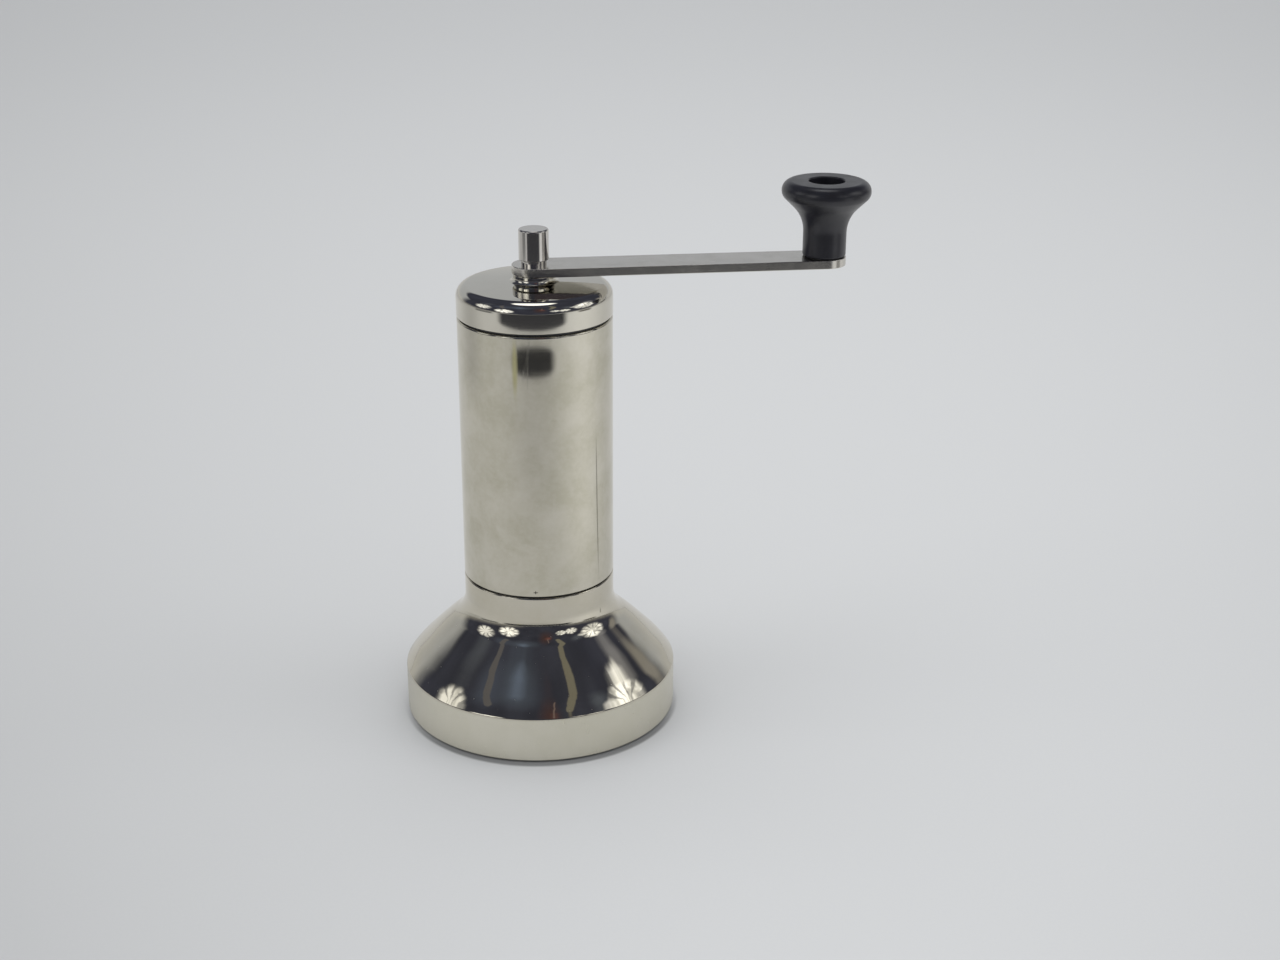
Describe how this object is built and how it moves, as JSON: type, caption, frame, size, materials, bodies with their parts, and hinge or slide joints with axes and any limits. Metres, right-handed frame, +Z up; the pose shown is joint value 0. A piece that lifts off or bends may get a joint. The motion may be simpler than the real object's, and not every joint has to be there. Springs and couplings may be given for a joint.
{
  "type": "hand-cranked spice mill",
  "caption": "Hand-cranked spice mill: flared steel base that catches the grounds, straight steel tube with a conical burr unit, and a lift-off lid with a flat crank and black knob.",
  "frame": {"origin": "on the mill's vertical axis, at the underside of the foot pad, where the mill stands on the table", "axes": "+Z up along the mill's axis, +X from the axis towards the knob along the crank arm, -Y towards the side the picture shows"},
  "size_m": [0.1598, 0.095, 0.1857],
  "materials": {
    "polished_steel": "mirror polished stainless steel",
    "satin_steel": "satin polished stainless steel",
    "brushed_steel": "brushed stainless steel",
    "polished_nut": "polished stainless steel",
    "shaft_steel": "turned stainless steel",
    "washer_brass": "plain brass",
    "spring_steel": "drawn spring steel",
    "bridge_steel": "tumbled stainless steel",
    "screw_steel": "plain stainless steel",
    "burr_steel": "hardened and ground steel",
    "pan_steel": "pressed stainless steel",
    "dark_plastic": "moulded, fine matt grain",
    "pale_plastic": "turned bearing plastic",
    "black_rubber": "soft, dull",
    "seal_rubber": "smooth",
    "knob_plastic": "black satin moulded plastic"
  },
  "bodies": {
    "base": {"base_shell": "polished_steel", "base_collar": "dark_plastic", "base_bottom": "pan_steel", "foot_pad": "black_rubber"},
    "body": {"body_tube": "satin_steel", "burr_housing": "dark_plastic", "spigot_seal": "seal_rubber", "outer_burr": "burr_steel", "upper_bridge": "bridge_steel", "upper_bridge_screws": "screw_steel", "lower_bridge": "bridge_steel", "lower_bridge_screws": "screw_steel", "adjuster_keeper": "bridge_steel", "keeper_screws": "screw_steel", "burr_spring": "spring_steel"},
    "adjuster": {"adjuster_wheel": "dark_plastic"},
    "thrust": {"thrust_pin": "shaft_steel"},
    "burr": {"inner_burr": "burr_steel", "burr_spindle": "shaft_steel", "burr_nut": "shaft_steel", "spring_washer": "spring_steel"},
    "lid": {"lid_shell": "polished_steel", "lid_plug": "dark_plastic", "lid_seal": "seal_rubber", "lid_bush": "pale_plastic"},
    "crank": {"drive_shaft": "shaft_steel", "shaft_washer": "washer_brass", "shaft_clip": "spring_steel", "crank_arm": "brushed_steel", "cap_nut": "polished_nut", "knob_pin": "shaft_steel", "knob_washer": "dark_plastic"},
    "knob": {"knob": "knob_plastic"}
  },
  "joints": [
    {"name": "body_lift", "type": "slide", "parent": "base", "child": "body", "axis": [0, 0, 1], "range_m": [0, 0.06]},
    {"name": "lid_lift", "type": "slide", "parent": "body", "child": "lid", "axis": [0, 0, 1], "range_m": [0, 0.09]},
    {"name": "crank_turn", "type": "hinge", "parent": "lid", "child": "crank", "pos_m": [0, 0, 0.15], "axis": [0, 0, 1], "continuous": true},
    {"name": "knob_spin", "type": "hinge", "parent": "crank", "child": "knob", "pos_m": [0.0974, 0, 0.17], "axis": [0, 0, 1], "continuous": true},
    {"name": "adjuster_turn", "type": "hinge", "parent": "body", "child": "adjuster", "pos_m": [0, 0, 0.0314], "axis": [0, 0, 1], "range_deg": [0, 540]},
    {"name": "burr_feed", "type": "slide", "parent": "body", "child": "thrust", "axis": [0, 0, -1], "range_m": [0, 0.0012], "deforming": ["burr_spring"]},
    {"name": "burr_spin", "type": "hinge", "parent": "thrust", "child": "burr", "pos_m": [0, 0, 0.05], "axis": [0, 0, 1], "continuous": true}
  ],
  "couplings": [
    {"joint": "adjuster_turn", "follows": "burr_feed", "rad_per_m": 7853.9},
    {"joint": "burr_spin", "follows": "crank_turn", "ratio": 1}
  ]
}
